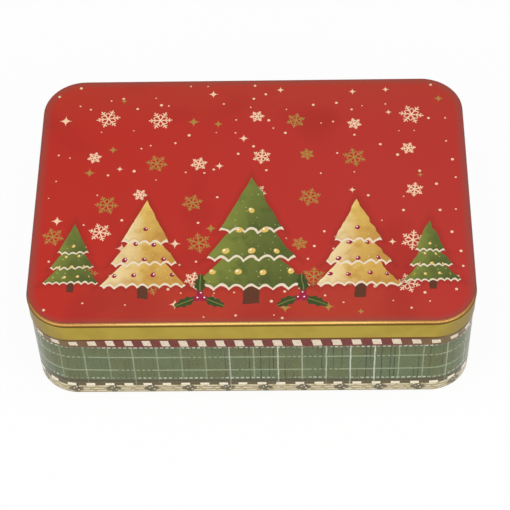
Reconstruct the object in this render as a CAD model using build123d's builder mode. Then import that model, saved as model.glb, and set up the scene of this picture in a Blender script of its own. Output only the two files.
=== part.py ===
"""Hinged card game tin: a rectangular tinplate box with rounded corners.

The lid is one drawn sheet with a rolled bead and a hemmed skirt. It turns on two pin hinges at the
back. The body is a wrapped wall with a curled rim, folded under a pressed base. A formed plastic
insert inside holds two banded packs of cards, a folded rules leaflet and an empty token well.

Units are millimetres. +Z is up, the front is at -Y, and the origin is on the surface that the tin
stands on, under the middle of the lid. In a section, the first number is the distance inwards from
the lid's outermost line and the second is the height.
"""

import os

from build123d import *

# ---- Driving dimensions ---------------------------------------------------------------------

# Overall, measured over the lid's bead
lid_width = 195.0
lid_depth = 140.0
tin_height = 54.0
corner_radius = 19.0

# Tinplate
sheet = 0.3
fit_gap = 0.05  # between fixed pieces that nest

# Lid
bead_radius = 1.0
bead_overhang = 0.15  # the bead stands this far out from the skirt
crease_depth = 0.3  # below the bead, in from the skirt's face
crease_slope = 0.5  # height over which the crease runs out into the skirt
skirt_height = 10.8
hem_height = 3.0
lid_clearance = 0.3  # between the hem and the neck of the body
panel_clearance = 0.3  # between the panel and the rim of the body

# Body
curl_radius = 0.8
shoulder_drop = 0.9  # from the lid's lower edge to the top of the shoulder
shoulder_height = 0.6
foot_radius = 1.2
foot_flange = 4.5  # width of the wall's fold under the base
pan_height = 4.0
panel_margin = 0.6  # from the fold's edge to the base's ramp
panel_ramp = 1.0
panel_rise = 1.0
seam_width = 5.0
seam_layers = 2
seam_end_gap = 1.5
groove_width = 0.5
groove_depth = 0.1

# Hinges
hinge_inset = 41.5  # from the end of the lid to the middle of a hinge
hinge_drop = 1.5  # from the lid's lower edge down to the axis
pin_radius = 0.6
pin_head_radius = 0.9
pin_head_length = 0.4
running_gap = 0.06
seat_gap = 0.02
leaf_thickness = 0.4
leaf_width = 34.0
leaf_height = 12.0
leaf_corner = 2.5
lid_knuckle_width = 13.4
knuckle_gap = 0.3  # between neighbouring knuckles
roll_slit = 0.25  # where a rolled knuckle doesn't quite close
stop_reach = 0.6  # the lip that stops the lid, beyond the knuckle
stop_thickness = 0.4

# Rivets
rivet_radius = 1.0
rivet_head_radius = 2.1
rivet_head_height = 0.7
rivet_tail_radius = 1.8
rivet_tail_height = 0.5
rivet_spacing = 20.0
rivet_drop = 7.5  # below the hinge axis
rivet_gap = 0.05
rivet_hole_cut = 2.0

# Insert
tray_wall = 0.6
tray_clearance = 0.2  # to the curled rim, so that the insert lifts out
tray_headroom = 4.7  # below the lid's panel
tray_edge_radius = 1.2
card_well_depth = 28.0
token_well_depth = 40.0
well_edge = 6.3  # from the insert's ends to the outer wells
well_rib = 5.0  # between wells
well_corner = 4.5
well_gap = 1.5  # around the cards
notch_radius = 11.0
notch_reach = 8.0  # thumb notch, beyond the cards' well

# Cards and paper
card_width = 63.0
card_length = 88.0
card_corner = 3.5
pack_height = 25.0
band_width = 24.0
band_thickness = 0.2
leaflet_width = 59.0
leaflet_length = 84.0
leaflet_fold = 0.25  # thickness of one panel
leaflet_panels = 4
leaflet_slit = 0.08  # between panels
leaflet_crease = 0.5

# ---- Derived places --------------------------------------------------------------------------

# Distances inwards from the lid's outermost line
skirt_outer = bead_overhang
skirt_inner = skirt_outer + sheet
hem_inner = skirt_inner + sheet
neck_outer = hem_inner + lid_clearance
neck_inner = neck_outer + sheet
tray_inset = neck_outer + 2 * curl_radius + tray_clearance

lid_knuckle_bore = pin_radius + running_gap
lid_knuckle_radius = lid_knuckle_bore + sheet
leaf_knuckle_bore = pin_radius + seat_gap
leaf_knuckle_radius = leaf_knuckle_bore + leaf_thickness
axis_out = lid_knuckle_radius - skirt_inner  # the axis lies this far outside the bead
wall_outer = leaf_knuckle_radius - axis_out + seat_gap
wall_inner = wall_outer + sheet
foot_end = wall_outer + foot_flange

# Heights
skirt_bottom = tin_height - skirt_height
panel_underside = tin_height - sheet
rim_top = panel_underside - panel_clearance
shoulder_top = skirt_bottom - shoulder_drop
shoulder_bottom = shoulder_top - shoulder_height
hinge_height = skirt_bottom - hinge_drop
rivet_height = hinge_height - rivet_drop
base_floor = 2 * sheet  # upper face of the base's rim, on the folded wall
tray_top = panel_underside - tray_headroom

# The back of the tin
axis_y = lid_depth / 2 + axis_out
wall_back = lid_depth / 2 - wall_outer  # outer face of the back wall
hinge_places = (hinge_inset - lid_width / 2, lid_width / 2 - hinge_inset)
lid_knuckle_room = lid_knuckle_width + 2 * knuckle_gap
leaf_knuckle_width = (leaf_width - lid_knuckle_room) / 2

# Wells of the insert
tray_width = lid_width - 2 * tray_inset
tray_depth = lid_depth - 2 * tray_inset
card_well_width = card_width + 2 * well_gap
card_well_length = card_length + 2 * well_gap
left_pack_x = well_edge + card_well_width / 2 - tray_width / 2
right_pack_x = left_pack_x + card_well_width + well_rib
token_well_start = right_pack_x + card_well_width / 2 + well_rib
token_well_end = tray_width / 2 - well_edge
token_well_width = token_well_end - token_well_start
token_well_x = (token_well_start + token_well_end) / 2
card_floor = tray_top - card_well_depth
token_floor = tray_top - token_well_depth
pack_bottom = card_floor + band_thickness
leaflet_bottom = pack_bottom + pack_height + band_thickness


# ---- Helpers ---------------------------------------------------------------------------------

section_plane = Plane(origin=(0, -lid_depth / 2, 0), x_dir=(0, 1, 0), z_dir=(1, 0, 0))
back_plane = Plane.XZ.offset(-wall_back)  # the outer face of the back wall


def tin_outline():
    """The lid's outermost line as one closed wire that starts in the middle of the front."""
    x, y, r = lid_width / 2, lid_depth / 2, corner_radius
    with BuildLine() as outline:
        Line((0, -y), (x - r, -y))
        RadiusArc((x - r, -y), (x, -y + r), -r)
        Line((x, -y + r), (x, y - r))
        RadiusArc((x, y - r), (x - r, y), -r)
        Line((x - r, y), (-x + r, y))
        RadiusArc((-x + r, y), (-x, y - r), -r)
        Line((-x, y - r), (-x, -y + r))
        RadiusArc((-x, -y + r), (-x + r, -y), -r)
        Line((-x + r, -y), (0, -y))
    return outline.wire()


def plate_outline(inset):
    """Adds the tin's outline, moved inwards, to the sketch that is being made."""
    RectangleRounded(lid_width - 2 * inset, lid_depth - 2 * inset, corner_radius - inset)


def rivet_hole_outlines(x):
    """Adds the holes for one hinge leaf's rivets to the sketch that is being made."""
    with Locations(*[(x + side * rivet_spacing / 2, rivet_height) for side in (-1, 1)]):
        Circle(rivet_radius + rivet_gap)


def finish(piece, name):
    """Names a finished piece and writes its file."""
    piece.part.label = name
    export_step(piece.part, f"parts/{name}.step")


def polar(centre, radius, degrees):
    """A point at a radius and angle from a centre, in a section."""
    return Vector(*centre) + Vector(radius, 0).rotate(Axis.Z, degrees)


# ---- Lid -------------------------------------------------------------------------------------


def make_lid():
    """One drawn sheet: flat panel, bead, skirt, hem, and a rolled knuckle at each hinge."""
    bead_centre = (bead_radius, tin_height - bead_radius)
    inner_radius = bead_radius - sheet
    crease_inset = skirt_outer + crease_depth
    inner_crease_inset = skirt_inner + crease_depth
    crease_drop = (bead_radius**2 - (bead_radius - crease_inset) ** 2) ** 0.5
    inner_crease_drop = (inner_radius**2 - (bead_radius - inner_crease_inset) ** 2) ** 0.5
    panel_start = corner_radius / 2
    crease = (crease_inset, bead_centre[1] - crease_drop)
    inner_crease = (inner_crease_inset, bead_centre[1] - inner_crease_drop)
    skirt_top = crease[1] - crease_slope
    hem_centre_height = skirt_bottom + sheet
    hem_top = skirt_bottom + hem_height

    with BuildPart() as lid:
        with BuildSketch(section_plane):
            with BuildLine():
                Line((panel_start, tin_height), (bead_radius, tin_height))
                ThreePointArc((bead_radius, tin_height), polar(bead_centre, bead_radius, 180), crease)
                Polyline(crease, (skirt_outer, skirt_top), (skirt_outer, hem_centre_height))
                ThreePointArc(
                    (skirt_outer, hem_centre_height),
                    (skirt_inner, skirt_bottom),
                    (hem_inner, hem_centre_height),
                )
                Polyline(
                    (hem_inner, hem_centre_height),
                    (hem_inner, hem_top),
                    (skirt_inner, hem_top),
                    (skirt_inner, skirt_top),
                    inner_crease,
                )
                ThreePointArc(
                    inner_crease,
                    polar(bead_centre, inner_radius, 180),
                    (bead_radius, panel_underside),
                )
                Polyline(
                    (bead_radius, panel_underside),
                    (panel_start, panel_underside),
                    (panel_start, tin_height),
                )
            make_face()
        sweep(path=tin_outline())
        with BuildSketch(Plane.XY.offset(panel_underside)):
            plate_outline(panel_start)
        extrude(amount=sheet)

        # The hem stops short where the sheet runs down into a knuckle.
        hem_gap_height = hem_height + knuckle_gap
        with Locations(
            *[
                (x, lid_depth / 2 - skirt_inner, skirt_bottom - knuckle_gap)
                for x in hinge_places
            ]
        ):
            Box(
                lid_knuckle_room,
                2 * sheet,
                hem_gap_height + knuckle_gap,
                align=(Align.CENTER, Align.MAX, Align.MIN),
                mode=Mode.SUBTRACT,
            )
        for x in hinge_places:
            hinge_plane = Plane(
                origin=(x - lid_knuckle_width / 2, axis_y, hinge_height),
                x_dir=(0, 1, 0),
                z_dir=(1, 0, 0),
            )
            with BuildSketch(hinge_plane):
                Circle(lid_knuckle_radius)
                with Locations((-lid_knuckle_radius, 0)):
                    Rectangle(sheet, hinge_drop + hem_height, align=(Align.MIN, Align.MIN))
                Circle(lid_knuckle_bore, mode=Mode.SUBTRACT)
                with Locations((-lid_knuckle_bore, 0)):
                    Rectangle(
                        roll_slit,
                        hinge_drop,
                        align=(Align.MIN, Align.MIN),
                        mode=Mode.SUBTRACT,
                    )
            extrude(amount=lid_knuckle_width)
    return lid


# ---- Body ------------------------------------------------------------------------------------


def make_wall():
    """The wrapped wall: folded foot, shoulder, neck and curled rim, with its lock seam at the back."""
    foot_centre = (wall_outer + foot_radius, foot_radius)
    foot_inner_radius = foot_radius - sheet
    curl_centre = (neck_outer + curl_radius, rim_top - curl_radius)
    curl_inner_radius = curl_radius - sheet
    curl_height = curl_centre[1]

    with BuildPart() as wall:
        with BuildSketch(section_plane):
            with BuildLine():
                Line((foot_end, 0), (foot_centre[0], 0))
                ThreePointArc(
                    (foot_centre[0], 0),
                    polar(foot_centre, foot_radius, 225),
                    (wall_outer, foot_radius),
                )
                Polyline(
                    (wall_outer, foot_radius),
                    (wall_outer, shoulder_bottom),
                    (neck_outer, shoulder_top),
                    (neck_outer, curl_height),
                )
                ThreePointArc(
                    (neck_outer, curl_height),
                    polar(curl_centre, curl_radius, 45),
                    polar(curl_centre, curl_radius, -90),
                )
                Line(
                    polar(curl_centre, curl_radius, -90),
                    polar(curl_centre, curl_inner_radius, -90),
                )
                ThreePointArc(
                    polar(curl_centre, curl_inner_radius, -90),
                    polar(curl_centre, curl_inner_radius, 45),
                    (neck_inner, curl_height),
                )
                Polyline(
                    (neck_inner, curl_height),
                    (neck_inner, shoulder_top),
                    (wall_inner, shoulder_bottom),
                    (wall_inner, foot_radius),
                )
                ThreePointArc(
                    (wall_inner, foot_radius),
                    polar(foot_centre, foot_inner_radius, 225),
                    (foot_centre[0], sheet),
                )
                Polyline((foot_centre[0], sheet), (foot_end, sheet), (foot_end, 0))
            make_face()
        sweep(path=tin_outline())

        # Lock seam: the folded layers inside, and the line of the joint outside.
        seam_bottom = sheet + pan_height + seam_end_gap
        seam_top = shoulder_bottom - seam_end_gap
        with Locations((0, lid_depth / 2 - wall_inner, seam_bottom)):
            Box(
                seam_width,
                seam_layers * sheet,
                seam_top - seam_bottom,
                align=(Align.CENTER, Align.MAX, Align.MIN),
            )
        with Locations((seam_width / 2, wall_back, foot_radius)):
            Box(
                groove_width,
                groove_depth,
                shoulder_bottom - foot_radius,
                align=(Align.CENTER, Align.MAX, Align.MIN),
                mode=Mode.SUBTRACT,
            )
        with BuildSketch(back_plane):
            for x in hinge_places:
                rivet_hole_outlines(x)
        extrude(amount=rivet_hole_cut, both=True, mode=Mode.SUBTRACT)
    return wall


def make_base():
    """The pressed base: a shallow pan inside the wall, standing on the wall's folded foot."""
    pan_outer = wall_inner + fit_gap
    pan_corner = foot_radius - sheet - fit_gap
    pan_inner_corner = pan_corner - sheet
    corner_centre = (pan_outer + pan_corner, sheet + pan_corner)
    pan_top = sheet + pan_height
    ramp_start = foot_end + panel_margin
    ramp_end = ramp_start + panel_ramp
    panel_bottom = sheet + panel_rise
    panel_start = corner_radius / 2

    with BuildPart() as base:
        with BuildSketch(section_plane):
            with BuildLine():
                Polyline(
                    (pan_outer + sheet, pan_top),
                    (pan_outer, pan_top),
                    (pan_outer, corner_centre[1]),
                )
                ThreePointArc(
                    (pan_outer, corner_centre[1]),
                    polar(corner_centre, pan_corner, 225),
                    (corner_centre[0], sheet),
                )
                Polyline(
                    (corner_centre[0], sheet),
                    (ramp_start, sheet),
                    (ramp_end, panel_bottom),
                    (panel_start, panel_bottom),
                    (panel_start, panel_bottom + sheet),
                    (ramp_end, panel_bottom + sheet),
                    (ramp_start, base_floor),
                    (corner_centre[0], base_floor),
                )
                ThreePointArc(
                    (corner_centre[0], base_floor),
                    polar(corner_centre, pan_inner_corner, 225),
                    (pan_outer + sheet, corner_centre[1]),
                )
                Line((pan_outer + sheet, corner_centre[1]), (pan_outer + sheet, pan_top))
            make_face()
        sweep(path=tin_outline())
        with BuildSketch(Plane.XY.offset(panel_bottom)):
            plate_outline(panel_start)
        extrude(amount=sheet)
    return base


# ---- Hinges ----------------------------------------------------------------------------------


def make_leaf(x):
    """A pressed steel leaf: a plate on the back wall and two knuckles with a lip that stops the lid."""
    plate_top = hinge_height - lid_knuckle_radius - knuckle_gap
    left = x - leaf_width / 2
    knuckle_starts = (left, left + leaf_width - leaf_knuckle_width)
    plate_height = leaf_height - (hinge_height - plate_top)

    with BuildPart() as leaf:
        with BuildSketch(back_plane):
            with Locations((x, hinge_height - leaf_height)):
                Rectangle(leaf_width, plate_height, align=(Align.CENTER, Align.MIN))
        extrude(amount=-leaf_thickness)
        lower_corners = leaf.edges().filter_by(Axis.Y).group_by(Axis.Z)[0]
        fillet(lower_corners, leaf_corner)
        for start in knuckle_starts:
            knuckle_plane = Plane(
                origin=(start, axis_y, hinge_height), x_dir=(0, 1, 0), z_dir=(1, 0, 0)
            )
            with BuildSketch(knuckle_plane):
                Circle(leaf_knuckle_radius)
                with Locations((wall_back - axis_y, plate_top - hinge_height - sheet)):
                    Rectangle(
                        leaf_thickness,
                        hinge_height - plate_top + sheet,
                        align=(Align.MIN, Align.MIN),
                    )
                with Locations((leaf_knuckle_bore, 0)):
                    Rectangle(
                        leaf_thickness + stop_reach, stop_thickness, align=(Align.MIN, Align.MAX)
                    )
                Circle(leaf_knuckle_bore, mode=Mode.SUBTRACT)
                with Locations((wall_back - axis_y + leaf_thickness, 0)):
                    Rectangle(
                        roll_slit,
                        leaf_knuckle_radius,
                        align=(Align.MIN, Align.MAX),
                        mode=Mode.SUBTRACT,
                    )
            extrude(amount=leaf_knuckle_width)
        with BuildSketch(back_plane):
            rivet_hole_outlines(x)
        extrude(amount=rivet_hole_cut, both=True, mode=Mode.SUBTRACT)
    return leaf


def make_pin(x):
    """A steel pin with a peened head at each end."""
    with BuildPart() as pin:
        pin_plane = Plane(
            origin=(x - leaf_width / 2 - seat_gap, axis_y, hinge_height),
            x_dir=(0, 1, 0),
            z_dir=(1, 0, 0),
        )
        with BuildSketch(pin_plane):
            Circle(pin_radius)
        extrude(amount=leaf_width + 2 * seat_gap)
        for end, way in ((0, -1), (leaf_width + 2 * seat_gap, 1)):
            with BuildSketch(pin_plane.offset(end)):
                Circle(pin_head_radius)
            extrude(amount=way * pin_head_length)
        fillet(pin.faces().sort_by(Axis.X)[0].edges(), pin_head_length / 2)
        fillet(pin.faces().sort_by(Axis.X)[-1].edges(), pin_head_length / 2)
    return pin


def make_rivets(x):
    """The two rivets of one leaf, each with a domed head outside and a flat tail inside."""
    leaf_face = leaf_thickness
    tail_face = -sheet
    with BuildPart() as rivets:
        for side in (-1, 1):
            rivet_plane = Plane(
                origin=(x + side * rivet_spacing / 2, wall_back, rivet_height),
                x_dir=(1, 0, 0),
                z_dir=(0, 0, 1),
            )
            with BuildSketch(rivet_plane):
                with BuildLine():
                    TangentArc(
                        (0, leaf_face + rivet_head_height),
                        (rivet_head_radius, leaf_face),
                        tangent=(1, 0),
                    )
                    Polyline(
                        (rivet_head_radius, leaf_face),
                        (rivet_radius, leaf_face),
                        (rivet_radius, tail_face),
                        (rivet_tail_radius, tail_face),
                        (rivet_tail_radius, tail_face - rivet_tail_height / 2),
                        (rivet_tail_radius - rivet_tail_height / 2, tail_face - rivet_tail_height),
                        (0, tail_face - rivet_tail_height),
                        (0, leaf_face + rivet_head_height),
                    )
                make_face()
            revolve(axis=Axis(rivet_plane.origin, (0, 1, 0)))
    return rivets


# ---- Insert ----------------------------------------------------------------------------------


def well_outlines(grow):
    """Sketches the three wells, each grown all round: two for cards, with thumb notches, and one for tokens."""
    corner = well_corner + grow
    with Locations((left_pack_x, 0), (right_pack_x, 0)):
        RectangleRounded(card_well_width + 2 * grow, card_well_length + 2 * grow, corner)
    notch_y = card_well_length / 2 + notch_reach - notch_radius
    with Locations(*[(x, side * notch_y) for x in (left_pack_x, right_pack_x) for side in (-1, 1)]):
        Circle(notch_radius + grow)


def token_outline(grow):
    """Sketches the token well, grown all round."""
    with Locations((token_well_x, 0)):
        RectangleRounded(
            token_well_width + 2 * grow, card_well_length + 2 * grow, well_corner + grow
        )


def make_tray():
    """The formed insert: a top plate with a skirt down to the base, and three wells."""
    inner_edge_radius = tray_edge_radius - tray_wall
    tray_height = tray_top - base_floor
    with BuildPart() as hollow:
        with BuildSketch(Plane.XY.offset(base_floor)):
            plate_outline(tray_inset + tray_wall)
        extrude(amount=tray_height - tray_wall)
        fillet(hollow.faces().sort_by(Axis.Z)[-1].edges(), inner_edge_radius)
    with BuildPart() as tray:
        with BuildSketch(Plane.XY.offset(base_floor)):
            plate_outline(tray_inset)
        extrude(amount=tray_height)
        fillet(tray.faces().sort_by(Axis.Z)[-1].edges(), tray_edge_radius)
        add(hollow.part, mode=Mode.SUBTRACT)
        with BuildSketch(Plane.XY.offset(tray_top - tray_wall)):
            well_outlines(tray_wall)
        extrude(amount=-card_well_depth)
        with BuildSketch(Plane.XY.offset(tray_top - tray_wall)):
            token_outline(tray_wall)
        extrude(amount=-token_well_depth)
        with BuildSketch(Plane.XY.offset(tray_top)):
            well_outlines(0)
        extrude(amount=-card_well_depth, mode=Mode.SUBTRACT)
        with BuildSketch(Plane.XY.offset(tray_top)):
            token_outline(0)
        extrude(amount=-token_well_depth, mode=Mode.SUBTRACT)
    return tray


def make_pack(x):
    """A pack of cards, squared up."""
    with BuildPart() as pack:
        with BuildSketch(Plane.XY.offset(pack_bottom)):
            with Locations((x, 0)):
                RectangleRounded(card_width, card_length, card_corner)
        extrude(amount=pack_height)
    return pack


def make_band(x):
    """A paper band round a pack."""
    with BuildPart() as band:
        band_plane = Plane(
            origin=(x, -band_width / 2, pack_bottom + pack_height / 2),
            x_dir=(1, 0, 0),
            z_dir=(0, -1, 0),
        )
        with BuildSketch(band_plane):
            Rectangle(card_width + 2 * band_thickness, pack_height + 2 * band_thickness)
            Rectangle(card_width, pack_height, mode=Mode.SUBTRACT)
        extrude(amount=-band_width)
    return band


def make_leaflet(x):
    """The rules, one strip of paper folded to and fro and laid on the left pack."""
    pitch = leaflet_fold + leaflet_slit
    with BuildPart() as leaflet:
        with BuildSketch(Plane.XY.offset(leaflet_bottom)):
            with Locations((x, 0)):
                Rectangle(leaflet_width, leaflet_length)
        extrude(amount=leaflet_panels * leaflet_fold + (leaflet_panels - 1) * leaflet_slit)
        for n in range(1, leaflet_panels):
            side = 1 if n % 2 else -1
            slit_bottom = leaflet_bottom + n * pitch - leaflet_slit
            with Locations((x + side * leaflet_crease, 0, slit_bottom)):
                Box(
                    leaflet_width,
                    leaflet_length,
                    leaflet_slit,
                    align=(Align.CENTER, Align.CENTER, Align.MIN),
                    mode=Mode.SUBTRACT,
                )
    return leaflet


# ---- Build -----------------------------------------------------------------------------------

os.makedirs("parts", exist_ok=True)
finish(make_lid(), "lid_shell")
finish(make_wall(), "body_wall")
finish(make_base(), "base_plate")
for hinge_side, hinge_x in zip(("left", "right"), hinge_places):
    finish(make_leaf(hinge_x), f"hinge_leaf_{hinge_side}")
    finish(make_pin(hinge_x), f"hinge_pin_{hinge_side}")
    finish(make_rivets(hinge_x), f"hinge_rivets_{hinge_side}")
finish(make_tray(), "insert_tray")
for pack_side, pack_x in (("left", left_pack_x), ("right", right_pack_x)):
    finish(make_pack(pack_x), f"card_pack_{pack_side}")
    finish(make_band(pack_x), f"pack_band_{pack_side}")
finish(make_leaflet(left_pack_x), "rules_leaflet")
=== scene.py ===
"""The looks of the hinged card game tin: printed tinplate, gold lacquer, insert, cards and hinges.

Sizes are written in millimetres and multiplied by MM where Blender wants metres. In the materials,
positions are object coordinates in millimetres too, so every print is drawn at its real size.
"""

import math

import bpy
import numpy as np
from mathutils import Matrix, Vector


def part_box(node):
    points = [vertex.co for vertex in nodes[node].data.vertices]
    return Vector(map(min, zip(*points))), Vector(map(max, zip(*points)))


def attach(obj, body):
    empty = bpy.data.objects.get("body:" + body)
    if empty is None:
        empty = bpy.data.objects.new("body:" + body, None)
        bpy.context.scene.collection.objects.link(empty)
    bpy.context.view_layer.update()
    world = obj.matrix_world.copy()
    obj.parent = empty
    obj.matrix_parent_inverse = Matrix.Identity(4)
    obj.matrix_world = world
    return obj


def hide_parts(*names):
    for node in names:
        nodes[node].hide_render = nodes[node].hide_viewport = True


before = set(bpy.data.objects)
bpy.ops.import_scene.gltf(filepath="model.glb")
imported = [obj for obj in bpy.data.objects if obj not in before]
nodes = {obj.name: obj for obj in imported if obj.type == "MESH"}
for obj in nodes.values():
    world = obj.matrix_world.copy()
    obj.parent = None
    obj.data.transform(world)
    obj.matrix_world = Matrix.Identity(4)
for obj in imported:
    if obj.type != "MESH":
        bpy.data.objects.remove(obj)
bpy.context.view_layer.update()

MM = 0.001

# ---- Sizes that the looks need ---------------------------------------------------------------

lid_low, lid_high = (Vector(corner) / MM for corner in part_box("lid_shell"))
lid_half_width = lid_high.x
lid_half_depth = -lid_low.y
lid_top = lid_high.z
outline_corner = 19.0  # the lid's corner radius, over the bead
core_x = lid_half_width - outline_corner  # centres of the corner arcs
core_y = lid_half_depth - outline_corner


# ---- Shader maths ----------------------------------------------------------------------------


class Field:
    """A number that varies over a surface. Arithmetic on it adds Math nodes."""

    def __init__(self, paint, socket):
        self.paint = paint
        self.socket = socket

    def op(self, operation, *others):
        """One Math node, with this value first and the others after it."""
        values = dict(enumerate((self, *others)))
        return self.paint.add("ShaderNodeMath", values, operation=operation)

    def __add__(self, other):
        return self.op("ADD", other)

    def __sub__(self, other):
        return self.op("SUBTRACT", other)

    def __rsub__(self, other):
        return self.paint.add("ShaderNodeMath", {0: other, 1: self}, operation="SUBTRACT")

    def __mul__(self, other):
        return self.op("MULTIPLY", other)

    def __truediv__(self, other):
        return self.op("DIVIDE", other)

    def __neg__(self):
        return self * -1.0

    def __pow__(self, other):
        return self.op("POWER", other)

    def __lt__(self, other):
        return self.op("LESS_THAN", other)

    def __gt__(self, other):
        return self.op("GREATER_THAN", other)

    __radd__ = __add__
    __rmul__ = __mul__

    def least(self, other):
        return self.op("MINIMUM", other)

    def most(self, other):
        return self.op("MAXIMUM", other)

    def size(self):
        return self.op("ABSOLUTE")

    def floor(self):
        return self.op("FLOOR")

    def fract(self):
        return self.op("FRACT")

    def sin(self):
        return self.op("SINE")

    def cos(self):
        return self.op("COSINE")

    def root(self):
        return self.most(0.0).op("SQRT")

    def clip(self, low=0.0, high=1.0):
        return self.most(low).least(high)

    def step_to(self, low, high):
        """0 below low, 1 above high, smooth between them."""
        settings = {"interpolation_type": "SMOOTHSTEP"}
        values = {"Value": self, "From Min": low, "From Max": high}
        return self.paint.add("ShaderNodeMapRange", values, **settings)


class Paint:
    """A material for one finish, with one method that adds any node."""

    def __init__(self, name):
        self.material = bpy.data.materials.new(name)
        self.material.use_nodes = True
        self.tree = self.material.node_tree
        self.tree.nodes.clear()
        self.output = self.tree.nodes.new("ShaderNodeOutputMaterial")
        self.shader = self.tree.nodes.new("ShaderNodeBsdfPrincipled")
        self.tree.links.new(self.shader.outputs[0], self.output.inputs["Surface"])

    def add(self, kind, values=None, out=0, **settings):
        """Adds a node: its settings first, then its sockets' values or links."""
        node = self.tree.nodes.new(kind)
        for name, value in settings.items():
            setattr(node, name, value)
        for name, value in (values or {}).items():
            self.feed(node.inputs[name], value)
        return Field(self, node.outputs[out])

    def feed(self, socket, value):
        """Links a field to a socket, or sets the socket's own value."""
        if isinstance(value, Field):
            self.tree.links.new(value.socket, socket)
        elif socket.type == "RGBA":
            socket.default_value = (*value, 1.0) if len(value) == 3 else value
        else:
            socket.default_value = value

    def set(self, **values):
        """Sets or links the shader's own sockets, whose names have spaces for underscores."""
        for name, value in values.items():
            self.feed(self.shader.inputs[name.replace("_", " ")], value)

    def parts(self, vector):
        """The three numbers of a vector or a colour, as fields."""
        split = self.add("ShaderNodeSeparateXYZ", {0: vector}).socket.node
        return [Field(self, split.outputs[n]) for n in range(3)]

    def place(self, kind="Object"):
        """The position on the object, as three fields in millimetres."""
        fields = self.parts(self.add("ShaderNodeTexCoord", out=kind))
        return fields if kind == "Normal" else [f * (1 / MM) for f in fields]

    def vector(self, x, y, z):
        return self.add("ShaderNodeCombineXYZ", {0: x, 1: y, 2: z})

    def mix(self, share, below, above):
        """A colour: below where share is 0, above where it is 1."""
        return self.add("ShaderNodeMix", {0: share, 6: below, 7: above}, out=2, data_type="RGBA")

    def choose(self, share, below, above):
        """A number: below where share is 0, above where it is 1."""
        return self.add("ShaderNodeMix", {0: share, 2: below, 3: above}, data_type="FLOAT")

    def noise(self, where, scale, detail=2.0, roughness=0.5):
        values = {"Vector": where, "Scale": scale, "Detail": detail, "Roughness": roughness}
        return self.add("ShaderNodeTexNoise", values)

    def bump(self, height, distance, strength):
        """Links a height in millimetres, times distance, to the shader's normal."""
        values = {"Height": height, "Distance": distance * MM, "Strength": strength}
        self.set(Normal=self.add("ShaderNodeBump", values))


def srgb(r, g, b):
    """A linear colour from 0 to 255 display values."""
    channels = [c / 255 for c in (r, g, b)]
    return tuple(c / 12.92 if c <= 0.04045 else ((c + 0.055) / 1.055) ** 2.4 for c in channels)


def dress(name, paint):
    """Gives a CAD node its finish."""
    node = nodes[name]
    node.data.materials.clear()
    node.data.materials.append(paint.material)


def put(name, data):
    """Adds an object with this data to the scene."""
    piece = bpy.data.objects.new(name, data)
    bpy.context.scene.collection.objects.link(piece)
    return piece


# ---- Camera, lights and stage ----------------------------------------------------------------

picture_size = 510
sensor_width = 36.0
focal_pixels = 1840.95
camera_turn = math.radians(2.23)
camera_height = math.radians(53.387)
camera_roll = math.radians(-2.322)
camera_distance = 861.67
camera_target = Vector((0.35, 0.0, 9.6))
lamp_aim = Vector((0.0, 0.0, 25.0))
floor_half_width = 3.0  # metres
floor_glow = 0.93


def place_camera():
    """Aims the camera at the tin from a distance, a height angle, a turn about Z and a roll."""
    data = bpy.data.cameras.new("camera")
    data.sensor_width = sensor_width
    data.lens = focal_pixels * sensor_width / picture_size
    data.clip_start = 0.01
    data.clip_end = 20.0
    tilt = math.pi / 2 - camera_height
    turned = Matrix.Rotation(camera_turn, 4, "Z") @ Matrix.Rotation(tilt, 4, "X")
    turned = turned @ Matrix.Rotation(camera_roll, 4, "Z")
    back = turned @ Vector((0.0, 0.0, camera_distance))
    camera = put("camera", data)
    camera.matrix_world = Matrix.Translation((camera_target + back) * MM) @ turned
    bpy.context.scene.camera = camera


def softbox(name, place, size, power):
    """A rectangular area lamp, in millimetres, that faces the tin's middle."""
    data = bpy.data.lights.new(name, "AREA")
    data.shape = "RECTANGLE"
    data.size = size[0] * MM
    data.size_y = size[1] * MM
    data.energy = power
    lamp = put(name, data)
    lamp.location = Vector(place) * MM
    lamp.rotation_euler = (lamp_aim - Vector(place)).to_track_quat("-Z", "Y").to_euler()


def light_world(level, seen, behind):
    """One level of light all round. The camera and the glosses see white in front, darker behind."""
    world = bpy.data.worlds.new("studio")
    bpy.context.scene.world = world
    world.use_nodes = True
    tree = world.node_tree
    background = tree.nodes["Background"]
    background.inputs["Color"].default_value = (1, 1, 1, 1)
    path = tree.nodes.new("ShaderNodeLightPath")
    direction = tree.nodes.new("ShaderNodeTexCoord")
    parts = tree.nodes.new("ShaderNodeSeparateXYZ")
    tree.links.new(direction.outputs["Generated"], parts.inputs[0])
    depth = tree.nodes.new("ShaderNodeMapRange")
    for name, value in (("From Min", 0.1), ("From Max", 0.5), ("To Min", seen), ("To Max", behind)):
        depth.inputs[name].default_value = value
    tree.links.new(parts.outputs["Y"], depth.inputs["Value"])
    strength = level
    for ray, amount in (("Is Glossy Ray", depth.outputs[0]), ("Is Camera Ray", seen)):
        pick = tree.nodes.new("ShaderNodeMix")
        for socket, value in ((pick.inputs[2], strength), (pick.inputs[3], amount)):
            if isinstance(value, bpy.types.NodeSocket):
                tree.links.new(value, socket)
            else:
                socket.default_value = value
        tree.links.new(path.outputs[ray], pick.inputs[0])
        strength = pick.outputs[0]
    tree.links.new(strength, background.inputs["Strength"])


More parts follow.
